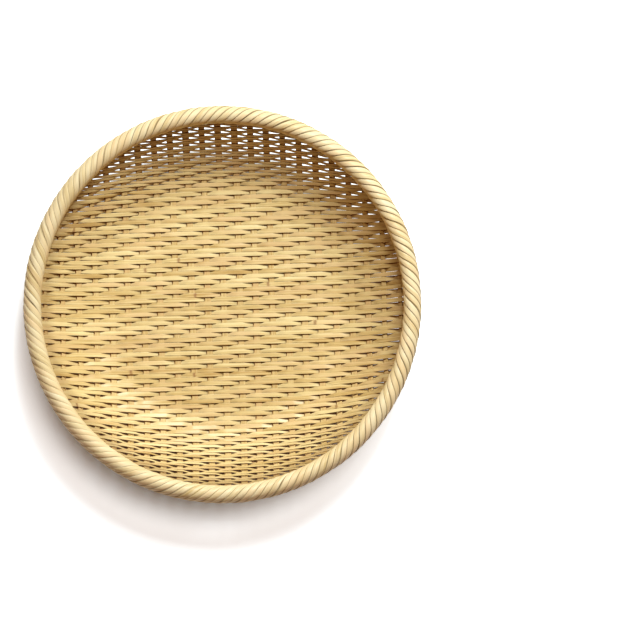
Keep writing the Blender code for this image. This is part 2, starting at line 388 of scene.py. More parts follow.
class Graph:
    """A short way to lay out shader nodes, in a material or in a group."""

    def __init__(self, tree: bpy.types.NodeTree) -> None:
        """Works on one node tree."""
        self.tree = tree

    def node(self, kind: str, inputs: dict | None = None, **settings: object) -> bpy.types.Node:
        """Adds a node.

        Args:
            kind: The node's type.
            inputs: What each input gets: another node's socket, which is linked, or a value.
            settings: The node's own settings.

        Returns:
            The new node.
        """
        made = self.tree.nodes.new(kind)
        for name, value in settings.items():
            setattr(made, name, value)
        for key, value in (inputs or {}).items():
            if isinstance(value, bpy.types.NodeSocket):
                self.join(value, made.inputs[key])
            else:
                made.inputs[key].default_value = value
        return made

    def first(self, kind: str, inputs: dict | None = None, **settings: object) -> bpy.types.NodeSocket:
        """Adds a node and gives its first output."""
        return self.node(kind, inputs, **settings).outputs[0]

    def join(self, source: bpy.types.NodeSocket, target: bpy.types.NodeSocket) -> None:
        """Links an output to an input."""
        self.tree.links.new(source, target)

    def effect(self, group: bpy.types.NodeTree, inputs: dict) -> bpy.types.NodeSocket:
        """Places a shared group, feeds its inputs and gives its output."""
        return self.first("ShaderNodeGroup", inputs, node_tree=group)

    def attribute(self, name: str, output: str) -> bpy.types.NodeSocket:
        """One output of a mesh attribute."""
        return self.node("ShaderNodeAttribute", attribute_name=name).outputs[output]

    def parts(self, vector: bpy.types.NodeSocket) -> bpy.types.bpy_prop_collection:
        """The three parts of a vector."""
        return self.node("ShaderNodeSeparateXYZ", {0: vector}).outputs

    def math(self, operation: str, *values: object) -> bpy.types.NodeSocket:
        """The result of a Math node on sockets or numbers."""
        return self.first("ShaderNodeMath", dict(enumerate(values)), operation=operation)

    def times(self, *values: object) -> bpy.types.NodeSocket:
        """The product of sockets or numbers."""
        return reduce(lambda product, value: self.math("MULTIPLY", product, value), values)

    def most(self, *values: object) -> bpy.types.NodeSocket:
        """The largest of some sockets or numbers."""
        return reduce(lambda largest, value: self.math("MAXIMUM", largest, value), values)

    def mix(self, share: object, first: object, second: object) -> bpy.types.NodeSocket:
        """The result of mixing two colours by a share."""
        inputs = {0: share, 6: first, 7: second}
        return self.node("ShaderNodeMix", inputs, data_type="RGBA").outputs[2]

    def ramp(self, value: object, low: object, high: object) -> bpy.types.NodeSocket:
        """A value carried smoothly from 0 at low to 1 at high."""
        inputs = {"Value": value, "From Min": low, "From Max": high}
        return self.first("ShaderNodeMapRange", inputs, interpolation_type="SMOOTHSTEP")

    def remap(
        self, value: object, low: float, high: float, bottom: float, top: float
    ) -> bpy.types.NodeSocket:
        """A value carried in a straight line from bottom at low to top at high."""
        inputs = {"Value": value, "From Min": low, "From Max": high, "To Min": bottom, "To Max": top}
        return self.first("ShaderNodeMapRange", inputs)

    def stretch(self, place: bpy.types.NodeSocket, scale: tuple[float, ...]) -> bpy.types.NodeSocket:
        """A place with each of its parts scaled by its own number."""
        return self.first("ShaderNodeVectorMath", {0: place, 1: scale}, operation="MULTIPLY")

    def shift(self, place: bpy.types.NodeSocket, move: tuple[float, ...]) -> bpy.types.NodeSocket:
        """A place moved by a vector."""
        return self.first("ShaderNodeVectorMath", {0: place, 1: move}, operation="ADD")

    def noise(self, place: object, scale: float, detail: float = 2.0) -> bpy.types.NodeSocket:
        """Noise from 0 to 1 at a place."""
        return self.first("ShaderNodeTexNoise", {"Vector": place, "Scale": scale, "Detail": detail})


def new_group(
    name: str, inputs: dict[str, str], output: str, kind: str
) -> tuple[Graph, bpy.types.bpy_prop_collection, bpy.types.NodeSocket]:
    """Starts a shader node group.

    Args:
        name: The group's name.
        inputs: Its inputs, each with its socket type.
        output: Name of its one output.
        kind: Socket type of that output.

    Returns:
        The group's graph, the sockets that its inputs come from, and the socket that its output goes to.
    """
    tree = bpy.data.node_groups.new(name, "ShaderNodeTree")
    for label, socket_type in inputs.items():
        tree.interface.new_socket(label, in_out="INPUT", socket_type=socket_type)
    tree.interface.new_socket(output, in_out="OUTPUT", socket_type=kind)
    graph = Graph(tree)
    given = graph.node("NodeGroupInput").outputs
    return graph, given, graph.node("NodeGroupOutput").inputs[output]


def fibre_group() -> bpy.types.NodeTree:
    """Fibres that run along a strip: noise stretched along the grain, coarse bands under fine threads.

    Returns:
        A group that takes the grain and the width of a fibre and gives the fibres as a value from 0 to 1.
    """
    cells_along = 45.0
    coarse_scale = 0.23
    coarse_share = 0.4
    sharpest = (0.34, 0.66)
    inputs = {"Grain": VECTOR, "Fibre Width": FLOAT}
    graph, given, result = new_group("Bamboo fibre", inputs, "Fibre", FLOAT)
    grain = graph.parts(given["Grain"])
    along = graph.times(grain[0], cells_along)
    across = graph.math("DIVIDE", grain[1], given["Fibre Width"])
    place = graph.first("ShaderNodeCombineXYZ", {0: along, 1: across})
    fine = graph.times(graph.noise(place, 1.0, detail=3.0), 1 - coarse_share)
    coarse = graph.times(graph.noise(place, coarse_scale, detail=1.0), coarse_share)
    graph.join(graph.ramp(graph.math("ADD", fine, coarse), *sharpest), result)
    return graph.tree


def tone_group() -> bpy.types.NodeTree:
    """A strip's colour: its own tone, drifting slowly along the stem, with darker fibres and warm patches.

    Returns:
        A group that takes the grain, the strip's tone, the fibres and four colours, and gives a colour.
    """
    cells = (28.0, 160.0, 0.0)
    drift_share = 0.7
    fibre_share = 0.9
    patch_place = (71.0, 13.0, 5.0)
    patch_scale = 0.8
    patch_share = 0.75
    inputs = {"Grain": VECTOR, "Tone": FLOAT, "Fibre": FLOAT}
    inputs |= {"Pale": COLOUR, "Middle": COLOUR, "Dark": COLOUR, "Blush": COLOUR}
    graph, given, result = new_group("Bamboo tone", inputs, "Color", COLOUR)
    place = graph.stretch(given["Grain"], cells)
    drift = graph.times(graph.math("SUBTRACT", graph.noise(place, 1.0), 0.5), drift_share)
    fibre = graph.times(graph.math("SUBTRACT", given["Fibre"], 0.5), fibre_share)
    tone = graph.math("ADD", given["Tone"], graph.math("ADD", drift, fibre))
    light = graph.mix(graph.ramp(tone, 0.0, 0.55), given["Pale"], given["Middle"])
    own = graph.mix(graph.ramp(tone, 0.5, 1.1), light, given["Dark"])
    patch = graph.noise(graph.shift(place, patch_place), patch_scale, detail=1.0)
    warmth = graph.times(graph.ramp(patch, 0.42, 0.72), patch_share)
    graph.join(graph.mix(warmth, own, given["Blush"]), result)
    return graph.tree


def node_mark_group() -> bpy.types.NodeTree:
    """The brown ring that a stem's joint leaves on a strip, once in each length between joints.

    Returns:
        A group that takes the grain and the distance between joints and gives the mark as a mask.
    """
    ragged_scale = 900.0
    ragged_reach = 1.6 * MILLIMETRE
    outer_edge = 2.3 * MILLIMETRE
    inner_edge = 0.9 * MILLIMETRE
    graph, given, result = new_group("Stem joint", {"Grain": VECTOR, "Spacing": FLOAT}, "Mark", FLOAT)
    place = graph.math("MODULO", graph.parts(given["Grain"])[0], given["Spacing"])
    away = graph.math("ABSOLUTE", graph.math("SUBTRACT", place, graph.times(given["Spacing"], 0.5)))
    ragged = graph.times(graph.noise(given["Grain"], ragged_scale), ragged_reach)
    graph.join(graph.ramp(graph.math("ADD", away, ragged), outer_edge, inner_edge), result)
    return graph.tree


def row_painted_shade_group() -> bpy.types.NodeTree:
    """Painted shade: the dark lens where a row dives beside a neighbour, as thick as the neighbour rises
    over it.

    Its thickness is a power of that rise times the edge's own thickness, made a little uneven. The lens
    along the upper edge is thicker, because shade from a lamp above falls there. A painted hairline of
    shade runs along both edges, and the whole row gets painted shade where it is tucked under the rim.

    Returns:
        A group that takes the grain, the crevice values and the place across the row and gives a mask.
    """
    uneven_scale = 75.0
    uneven_range = (0.6, 1.2)
    upper_thickness = 0.68
    lower_thickness = 0.2
    lens_power = 0.42
    row_edge = 1.06
    blur_inside = 0.1
    blur_outside = 0.08
    hairline_shade = 0.3
    tuck_shade = 0.43
    graph, given, result = new_group(Crevice.ROWS.value, CREVICE_INPUTS, "Mask", FLOAT)
    above, below, tucked = graph.parts(given["Crevice"])
    uneven = graph.remap(graph.noise(given["Grain"], uneven_scale), 0.3, 0.7, *uneven_range)
    lenses = []
    for rise, towards, thickness in ((above, 1.0, upper_thickness), (below, -1.0, lower_thickness)):
        lens = graph.times(graph.math("POWER", rise, lens_power), uneven, thickness)
        edge = graph.math("SUBTRACT", row_edge, lens)
        start = graph.math("SUBTRACT", edge, blur_inside)
        finish = graph.math("ADD", edge, blur_outside)
        lenses.append(graph.ramp(graph.times(given["Place"], towards), start, finish))
    beside = graph.ramp(graph.math("ABSOLUTE", given["Place"]), 0.8, 1.0)
    hairline = graph.times(beside, uneven, hairline_shade)
    graph.join(graph.most(*lenses, hairline, graph.times(tucked, tuck_shade)), result)
    return graph.tree


def rib_painted_shade_group() -> bpy.types.NodeTree:
    """Painted shade on a rib: a dark line under each row's edge, dark along one of its edges and faintly
    along the other, and more under the rim.

    Returns:
        A group that takes the grain, the crevice values and the place across the rib and gives a mask.
    """
    tuck_shade = 0.45
    graph, given, result = new_group(Crevice.RIB.value, CREVICE_INPUTS, "Mask", FLOAT)
    tucked, _, passed = graph.parts(given["Crevice"])
    share = graph.math("FRACT", passed)
    line = graph.ramp(share, 0.66, 0.84)
    left = graph.times(graph.ramp(given["Place"], 0.62, 0.9), graph.ramp(share, 0.0, 0.55))
    right = graph.ramp(graph.times(given["Place"], -1.0), 0.9, 1.1)
    graph.join(graph.most(line, left, right, graph.times(tucked, tuck_shade)), result)
    return graph.tree


def winding_painted_shade_group() -> bpy.types.NodeTree:
    """Painted shade in the groove between two strips of the winding: dark towards both edges, unevenly
    along them.

    Returns:
        A group that takes the grain, the crevice values and the place across the strip and gives a mask.
    """
    uneven_scale = 18.0
    least_depth = 0.42
    graph, given, result = new_group(Crevice.WINDING.value, CREVICE_INPUTS, "Mask", FLOAT)
    depth = graph.remap(graph.noise(given["Grain"], uneven_scale), 0.35, 0.65, least_depth, 1.0)
    groove = graph.ramp(graph.math("ABSOLUTE", given["Place"]), 0.72, 0.94)
    graph.join(graph.times(groove, depth), result)
    return graph.tree


@dataclass(frozen=True)
class BambooFinish:
    """The finish of one kind of split bamboo strip.

    Attributes:
        name: Name of the material.
        pale: Its lightest colour.
        middle: Its usual colour.
        dark: Its darkest colour.
        blush: The warmer colour that it takes in patches.
        mark: Colour of the marks that the stem's joints leave.
        roughness: Roughness of its skin, smooth fibre to open fibre.
        joint_spacing: Distance between two joints of the stem.
        coat: Share of the waxy skin that is left on it.
        crevice: Which kind of painted shade it takes.
        shade: Colour of the shade painted in its crevices.
        shade_share: How strongly that colour covers its own.
        fibre_width: Width of one fibre.
        relief: Height of the fibres.
        bump: How strongly that relief shows.
        mark_share: How strongly a joint's mark covers the strip's colour.
        mark_relief: Height of that mark, in fibres.
        specular: Gloss of the bare fibre.
        coat_roughness: Roughness of the waxy skin.
    """

    name: str
    pale: Colour
    middle: Colour
    dark: Colour
    blush: Colour
    mark: Colour
    roughness: tuple[float, float]
    joint_spacing: float
    coat: float
    crevice: Crevice
    shade: Colour
    shade_share: float
    fibre_width: float = 0.22 * MILLIMETRE
    relief: float = 0.03 * MILLIMETRE
    bump: float = 0.6
    mark_share: float = 0.7
    mark_relief: float = 2.0
    specular: float = 0.04
    coat_roughness: float = 0.37

    def material(self, groups: dict[str, bpy.types.NodeTree]) -> bpy.types.Material:
        """Builds the finish from the shared groups.

        Args:
            groups: The fibre, tone, joint and crevice groups.

        Returns:
            The material.
        """
        made = bpy.data.materials.new(self.name)
        made.use_nodes = True
        graph = Graph(made.node_tree)
        shader = made.node_tree.nodes["Principled BSDF"].inputs
        grain = graph.first("ShaderNodeUVMap", uv_map=UV_NAME)
        fibre = graph.effect(groups["fibre"], {"Grain": grain, "Fibre Width": self.fibre_width})
        tone_inputs = {
            "Grain": grain,
            "Tone": graph.attribute(TONE_NAME, "Fac"),
            "Fibre": fibre,
            "Pale": self.pale,
            "Middle": self.middle,
            "Dark": self.dark,
            "Blush": self.blush,
        }
        colour = graph.effect(groups["tone"], tone_inputs)
        mark = graph.effect(groups["mark"], {"Grain": grain, "Spacing": self.joint_spacing})
        colour = graph.mix(graph.times(mark, self.mark_share), colour, self.mark)
        crevice_inputs = {
            "Grain": grain,
            "Crevice": graph.attribute(CREVICE_NAME, "Vector"),
            "Place": graph.attribute(PLACE_NAME, "Fac"),
        }
        # Painted shade: the crevice mask mixes the colour towards the shade colour, and the coat is taken
        # off there.
        crevice = graph.effect(groups[self.crevice.value], crevice_inputs)
        colour = graph.mix(graph.times(crevice, self.shade_share), colour, self.shade)
        height = graph.math("ADD", fibre, graph.times(mark, self.mark_relief))
        bump_inputs = {"Strength": self.bump, "Distance": self.relief, "Height": height}
        graph.join(colour, shader["Base Color"])
        graph.join(graph.remap(fibre, 0.0, 1.0, *self.roughness), shader["Roughness"])
        graph.join(graph.first("ShaderNodeBump", bump_inputs), shader["Normal"])
        graph.join(graph.times(graph.math("SUBTRACT", 1.0, crevice), self.coat), shader["Coat Weight"])
        shader["Specular IOR Level"].default_value = self.specular
        shader["Coat Roughness"].default_value = self.coat_roughness
        return made


@dataclass(frozen=True)
class HoopFinish:
    """Plain split bamboo whose fibres follow a hoop.

    Attributes:
        name: Name of the material.
        pale: Its lighter colour.
        dark: Its darker colour.
        cells: Noise cells in a metre along each axis; far more in height, so that the fibres lie flat.
        roughness: Its roughness, pale to dark.
    """

    name: str = "hoop bamboo"
    pale: Colour = linear(196, 160, 104)
    dark: Colour = linear(150, 112, 66)
    cells: tuple[float, float, float] = (60.0, 60.0, 2400.0)
    roughness: tuple[float, float] = (0.5, 0.75)

    def material(self) -> bpy.types.Material:
        """Builds the finish on Object coordinates.

        Returns:
            The material.
        """
        made = bpy.data.materials.new(self.name)
        made.use_nodes = True
        graph = Graph(made.node_tree)
        shader = made.node_tree.nodes["Principled BSDF"].inputs
        place = graph.node("ShaderNodeTexCoord").outputs["Object"]
        noise = graph.noise(graph.stretch(place, self.cells), 1.0, detail=3.0)
        graph.join(graph.mix(graph.ramp(noise, 0.3, 0.7), self.pale, self.dark), shader["Base Color"])
        graph.join(graph.remap(noise, 0.0, 1.0, *self.roughness), shader["Roughness"])
        return made


@dataclass
class Bowl:
    """The middle surface of the weave: a flat base, a shoulder, and a wall that steepens up to the rim."""

    rim_circle_radius: float = 0.1138
    rim_radius: float = 0.0062
    base_radius: float = 0.064
    shoulder_radius: float = 0.088
    shoulder_slope: float = 0.62
    rim_slope: float = 1.47
    base_height: float = 0.00112
    reach: float = 0.13
    table_step: float = 0.0005
    tuck_start: float = 0.1015
    tuck_end: float = 0.1095
    wall_top_radius: float = field(init=False)
    across_lengths: np.ndarray = field(init=False)

    def __post_init__(self) -> None:
        """Tabulates, for each x, the distance from the X axis at each length along a rib.

        The length is the integral along y of the root of one plus the squared rise, where the rise is the
        slope times y over the distance from the axis. The table turns that round by interpolation.
        """
        self.wall_top_radius = self.rim_circle_radius - self.rim_radius
        places = np.arange(0, self.reach, self.table_step)
        x, y = np.meshgrid(places, places, indexing="ij")
        radius = np.maximum(np.hypot(x, y), self.table_step)
        pace = np.hypot(1, self.slope(radius) * y / radius)
        steps = (pace[:, 1:] + pace[:, :-1]) / 2 * self.table_step
        lengths = np.concatenate([np.zeros((len(places), 1)), np.cumsum(steps, axis=1)], axis=1)
        self.across_lengths = np.stack([np.interp(places, row, places) for row in lengths])

    def slope(self, radius: np.ndarray) -> np.ndarray:
        """Rise over run: a smooth step over the shoulder, then a steady steepening up the wall.

        Args:
            radius: Distances from the axis.

        Returns:
            The slope at each distance.
        """
        turn = smoothstep(radius, self.base_radius, self.shoulder_radius)
        wall_run = self.wall_top_radius - self.shoulder_radius
        climb = np.clip((radius - self.shoulder_radius) / wall_run, 0, 1)
        return self.shoulder_slope * turn + (self.rim_slope - self.shoulder_slope) * climb

    def height(self, radius: np.ndarray) -> np.ndarray:
        """Height of the surface, the integral of its slope from the axis outwards.

        Args:
            radius: Distances from the axis.

        Returns:
            The height at each distance.
        """
        shoulder_run = self.shoulder_radius - self.base_radius
        wall_run = self.wall_top_radius - self.shoulder_radius
        turn = np.clip((radius - self.base_radius) / shoulder_run, 0, 1)
        climb = np.clip((radius - self.shoulder_radius) / wall_run, 0, 1)
        beyond_shoulder = np.maximum(radius - self.shoulder_radius, 0)
        beyond_wall = np.maximum(radius - self.wall_top_radius, 0)
        gentle = self.shoulder_slope * (shoulder_run * (turn**3 - turn**4 / 2) + beyond_shoulder)
        steep = (self.rim_slope - self.shoulder_slope) * (wall_run * climb**2 / 2 + beyond_wall)
        return self.base_height + gentle + steep

    def y_along(self, x: np.ndarray, length: np.ndarray) -> np.ndarray:
        """Finds the y that lies a length along the ribs' direction, bilinearly from the table.

        Args:
            x: Places across the basket.
            length: Signed lengths along the ribs' direction from the X axis.

        Returns:
            The y at each place.
        """
        table = self.across_lengths
        column, row = np.abs(x) / self.table_step, np.abs(length) / self.table_step
        i = np.minimum(column.astype(int), len(table) - 2)
        j = np.minimum(row.astype(int), len(table) - 2)
        s, t = column - i, row - j
        near = table[i, j] * (1 - t) + table[i, j + 1] * t
        far = table[i + 1, j] * (1 - t) + table[i + 1, j + 1] * t
        return np.sign(length) * (near * (1 - s) + far * s)

    def point(self, x: np.ndarray, y: np.ndarray) -> np.ndarray:
        """Points of the surface above x and y."""
        return np.stack([x, y, self.height(np.hypot(x, y))], axis=-1)

    def normal(self, x: np.ndarray, y: np.ndarray) -> np.ndarray:
        """Unit normals of the surface, which lean from the vertical by its slope towards the axis.

        Args:
            x: Places across the basket.
            y: Places along the ribs.

        Returns:
            One vector for each place, pointing into the bowl.
        """
        radius = np.maximum(np.hypot(x, y), self.table_step)
        slope = self.slope(radius) / radius
        return unit(np.stack([-slope * x, -slope * y, np.ones_like(x)], axis=-1))

    def tuck(self, radius: np.ndarray) -> np.ndarray:
        """How far a place is tucked under the rim, which sets the shade painted there: 0 in the open and 1
        beside the winding.
        """
        return smoothstep(radius, self.tuck_start, self.tuck_end)

    def rim_height(self) -> float:
        """Height of the middle of the bound rim."""
        return float(self.height(np.array(self.rim_circle_radius)))


@dataclass
class RowPlan:
    """Where the rows of weaving lie along the ribs: bands of fine rows, wider ones in the base.

    The last band on each side has extra rows, which lie under the rim.
    """

    bands: int = 33
    base_bands: int = 9
    rows_per_band: int = 3
    extra_rows: int = 2
    base_pitch: float = 0.0081
    wall_pitch: float = 0.00585

    def rows(self, band: int) -> range:
        """The numbers of a band's rows, counted from its middle one.

        Args:
            band: The band's number from the middle, signed.

        Returns:
            The numbers, with the extra rows in the last band on each side.
        """
        last, side = self.bands // 2, self.rows_per_band // 2
        first = -side - (self.extra_rows if band == -last else 0)
        return range(first, side + 1 + (self.extra_rows if band == last else 0))

    def fine(self, band: int) -> float:
        """The pitch of a band's rows."""
        return (self.base_pitch if abs(band) <= self.base_bands else self.wall_pitch) / self.rows_per_band

    def base_end(self) -> float:
        """The length along a rib at which the wider rows end."""
        return (self.base_bands + 0.5) * self.base_pitch

    def centre(self, band: int, row: int) -> float:
        """Finds a row's middle.

        Args:
            band: The band's number from the middle, signed.
            row: The row's number in the band.

        Returns:
            Its signed length along the ribs from the X axis.
        """
        middle = min(abs(band), self.base_bands) * self.base_pitch
        beyond = abs(band) - self.base_bands
        if beyond > 0:
            middle = self.base_end() + (beyond - 0.5) * self.wall_pitch
        return math.copysign(middle, band) + row * self.fine(band)

    def passed(self, length: np.ndarray) -> np.ndarray:
        """Counts the rows passed along a rib, whole at each edge between two rows.

        It is the length over the pitch, plus a half: the base's pitch up to the base's end and the wall's
        from there.

        Args:
            length: Signed lengths along the rib from its middle.

        Returns:
            The count at each length.
        """
        away = np.abs(length)
        base = np.minimum(away, self.base_end()) / self.base_pitch
        wall = np.maximum(away - self.base_end(), 0) / self.wall_pitch
        return np.sign(length) * (base + wall) * self.rows_per_band + 0.5


@dataclass
class Ribs:
    """The flat ribs that run along Y, one for each rib of the frame, and one more beside each rim edge."""

    bowl: Bowl
    plan: RowPlan
    pitch: float = 0.00975
    width: float = 0.0039
    thickness: float = 0.00085
    count: int = 21
    edge_place: float = 0.10725
    tip_radius: float = 0.114
    station: float = 0.0012
    sway: Play = Play(0.0002, 0.04)
    width_play: Play = Play(0.08, 0.05)
    width_spread: float = 0.05
    tones: tuple[float, float] = (0.3, 0.6)
    tone_play: Play = Play(0.1, 0.03)
    section: Section = Section(points=12, side=0.25, face=0.3)
    seed: int = 11

    def places(self) -> np.ndarray:
        """The x of every rib, edge ribs included, from left to right."""
        inner = np.arange(-(self.count // 2), self.count // 2 + 1) * self.pitch
        return np.concatenate([[-self.edge_place], inner, [self.edge_place]])

    def strip(self, x: float, rng: np.random.Generator) -> Strip:
        """One rib: the bowl's surface along a plane of constant x, with a slight sway.

        Args:
            x: The rib's place across the basket.
            rng: Source of its small irregularities.

        Returns:
            The rib's strip.
        """
        end = math.sqrt(self.tip_radius**2 - x**2)
        y = np.linspace(-end, end, int(2 * end / self.station) + 2)
        swayed = x + self.sway.along(rng, y)
        path = self.bowl.point(swayed, y)
        across, outward = strip_frame(path, self.bowl.normal(swayed, y))
        spread = self.width_play.along(rng, y) + rng.uniform(-self.width_spread, self.width_spread)
        tone = rng.uniform(*self.tones) + self.tone_play.along(rng, y)
        length = lengths_along(path)
        tuck = self.bowl.tuck(np.hypot(path[:, 0], path[:, 1]))
        passed = self.plan.passed(length - np.interp(0, y, length))
        crevice = np.stack([tuck, np.zeros(len(y)), passed], axis=1)
        width, start = self.width * (1 + spread), float(rng.uniform(*STEM_STARTS))
        return Strip(path, across, outward, width, self.thickness, tone, start, crevice)

    def build(self, material: bpy.types.Material) -> None:
        """Builds and dresses every rib.

        Args:
            material: Their finish.
        """
        rng = np.random.default_rng(self.seed)
        for number, x in enumerate(self.places()):
            strip = self.strip(float(x), rng)
            if 0 < number <= self.count:
                piece = bundle(f"rib_strip_{number:02d}", [strip], self.section)
                dress(piece, material, Slot.RIB, f"rib_{number:02d}")
            else:
                side = "left" if x < 0 else "right"
                dress(bundle(f"edge_rib_{side}", [strip], self.section), material, Slot.RIB)


@dataclass
class WeftRows:
    """The rows of weaving, a band of fine rows for each weft of the frame.

    A row passes inside two ribs and then outside the next, and each row is shifted by one rib. The covers
    are the shares of the pitch that a row fills: in the base, up the walls at the left and right, and up
    those at the back and front, where the weave opens most. It opens between two radii, and towards the
    back and front from where y is a share of the radius.
    """

    bowl: Bowl
    plan: RowPlan
    ribs: Ribs
    base_cover: float = 1.0
    side_cover: float = 0.97
    rim_cover: float = 0.8
    open_radius: float = 0.074
    open_end: float = 0.099
    open_share: float = 0.3
    thickness: float = 0.00055
    clearance: float = 0.00003
    bed_share: float = 0.12
    wall_dip: float = 1.3
    tip_radius: float = 0.114
    fade_start: float = 0.108
    fade_end: float = 0.111
    station: float = 0.00075
    drift: Play = Play(0.035, 0.03)
    lean: Play = Play(math.radians(5), 0.015)
    width_play: Play = Play(0.03, 0.02)
    width_spread: float = 0.03
    tones: tuple[float, float] = (0.15, 0.7)
    tone_play: Play = Play(0.15, 0.02)
    section: Section = Section(points=12, side=0.22, face=0.25)
    seed: int = 23

    def passing(self, row: int, rib: int) -> Passing:
        """The side on which a row passes a rib: outside every third one."""
        return Passing.OUTSIDE if (row - rib) % 3 == 0 else Passing.INSIDE

    def lift(self, row: int, x: np.ndarray) -> np.ndarray:
        """How far in or out a row lies: flat on each rib's middle, and a smooth step in between.

        Args:
            row: The row's number, counted through all bands.
            x: Places along the row.

        Returns:
            The signed share of the offset for each place, from -1 to 1.
        """
        places = self.ribs.places()
        half = len(places) // 2
        sides = np.array([self.passing(row, rib).value for rib in range(-half, half + 1)])
        index = np.clip(np.searchsorted(places, x) - 1, 0, len(places) - 2)
        share = (x - places[index]) / (places[index + 1] - places[index])
        step = smoothstep(share, self.bed_share, 1 - self.bed_share)
        return sides[index] * (1 - step) + sides[index + 1] * step

    def cover(self, radius: np.ndarray, y: np.ndarray) -> np.ndarray:
        """The share of the pitch that a row fills.

        Args:
            radius: Distances from the axis along the row.
            y: The row's own distances from the X axis.

        Returns:
            The share at each place.
        """
        climb = smoothstep(radius, self.open_radius, self.open_end)
        steep = smoothstep(np.abs(y) / radius, self.open_share, 1)
        closed = self.base_cover + (self.side_cover - self.base_cover) * climb
        return closed + (self.rim_cover - self.side_cover) * climb * steep

    def crevice(self, number: int, x: np.ndarray, radius: np.ndarray) -> np.ndarray:
        """A row's crevice values, for its painted shade: half the difference to each neighbour's lift, a
        little more up the wall.

        Args:
            number: The row's number, counted through all bands.
            x: Places along the row.
            radius: Distances from the axis along the row.

        Returns:
            The rise of the row above, that of the row below, and the tuck under the rim.
        """
        climb = smoothstep(radius, self.open_radius, self.open_end)
        depth = (1 + (self.wall_dip - 1) * climb) / 2
        lift = self.lift(number, x)
        above = (self.lift(number + 1, x) - lift) * depth
        below = (self.lift(number - 1, x) - lift) * depth
        return np.stack([above, below, self.bowl.tuck(radius)], axis=1)

    def strip(self, band: int, row: int, rng: np.random.Generator) -> Strip:
        """One fine row of weaving.

        Its middle line lies at a steady length along the ribs, and its offset from the bowl's surface is
        the lift times half the thickness of a rib and a row together. It drifts, leans and swells a little.

        Args:
            band: The band's number from the middle, signed.
            row: The row's number in the band, counted from its middle one.
            rng: Source of its small irregularities.

        Returns:
            The row's strip.
        """
        centre, pitch = self.plan.centre(band, row), self.plan.fine(band)
        half = np.arange(0, self.bowl.rim_circle_radius, self.station)
        y = self.bowl.y_along(half, np.full(len(half), centre))
        end = float(np.interp(self.tip_radius, np.hypot(half, y), half))
        x = np.linspace(-end, end, int(2 * end / self.station) + 2)
        y = self.bowl.y_along(x, centre + self.drift.along(rng, x) * pitch)
        normal = self.bowl.normal(x, y)
        radius = np.hypot(x, y)
        number = band * self.plan.rows_per_band + row
        offset = (self.ribs.thickness + self.thickness) / 2 + self.clearance
        fade = 1 - smoothstep(radius, self.fade_start, self.fade_end)
        path = self.bowl.point(x, y) + normal * (offset * self.lift(number, x) * fade)[:, None]
        across, outward = lean_over(*strip_frame(path, normal), self.lean.along(rng, x))
        spread = self.width_play.along(rng, x) + rng.uniform(-self.width_spread, self.width_spread)
        tone = rng.uniform(*self.tones) + self.tone_play.along(rng, x)
        width = pitch * self.cover(radius, y) * (1 + spread)
        crevice, start = self.crevice(number, x, radius), float(rng.uniform(*STEM_STARTS))
        return Strip(path, across, outward, width, self.thickness, tone, start, crevice)

    def build(self, material: bpy.types.Material) -> None:
        """Builds and dresses every band of rows.

        Args:
            material: Their finish.
        """
        rng = np.random.default_rng(self.seed)
        half = self.plan.bands // 2
        for band in range(-half, half + 1):
            strips = [self.strip(band, row, rng) for row in self.plan.rows(band)]
            number = band + half + 1
            piece = bundle(f"weft_rows_{number:02d}", strips, self.section)
            dress(piece, material, Slot.WEFT, f"weft_{number:02d}")


@dataclass
class RimOval:
    """The rim's section: an upright oval carried round a circle."""

    bowl: Bowl
    circle_radius: float = 0.1145
    half_width: float = 0.0055
    half_height: float = 0.0066
    table_points: int = 721

    def arc_share(self, turn: np.ndarray) -> np.ndarray:
        """Turns an angle round the oval into the share of its girth passed so far.

        The girth up to an angle is the integral of the root of the half width times the sine, squared, plus
        the half height times the cosine, squared.

        Args:
            turn: Angles round the section, which may go on past one full turn.

        Returns:
            Full turns passed, with the share of the present one.
        """
        grid = np.linspace(0, math.tau, self.table_points)
        pace = np.hypot(self.half_width * np.sin(grid), self.half_height * np.cos(grid))
        girth = np.concatenate([[0], np.cumsum((pace[1:] + pace[:-1]) / 2)])
        return np.floor(turn / math.tau) + np.interp(np.mod(turn, math.tau), grid, girth / girth[-1])

    def girth(self) -> float:
        """The oval's girth, from its mean half size."""
        return math.tau * math.sqrt((self.half_width**2 + self.half_height**2) / 2)

    def point(self, azimuth: np.ndarray, turn: np.ndarray, depth: np.ndarray) -> np.ndarray:
        """Finds points of the rim: the oval's half sizes, less the depth, times cosine and sine.

        Args:
            azimuth: Angles round the rim.
            turn: Angles round the section.
            depth: Depths under the oval's outline.

        Returns:
            The points.
        """
        reach = self.circle_radius + (self.half_width - depth) * np.cos(turn)
        height = self.bowl.rim_height() + (self.half_height - depth) * np.sin(turn)
        return np.stack([reach * np.cos(azimuth), reach * np.sin(azimuth), height], axis=-1)

    def outward(self, azimuth: np.ndarray, turn: np.ndarray) -> np.ndarray:
        """Finds the vectors square to the oval's outline: cosine and sine over the oval's half sizes.

        Args:
            azimuth: Angles round the rim.
            turn: Angles round the section.

        Returns:
            Unit vectors.
        """
        reach = np.cos(turn) / self.half_width
        height = np.sin(turn) / self.half_height
        return unit(np.stack([reach * np.cos(azimuth), reach * np.sin(azimuth), height], axis=-1))


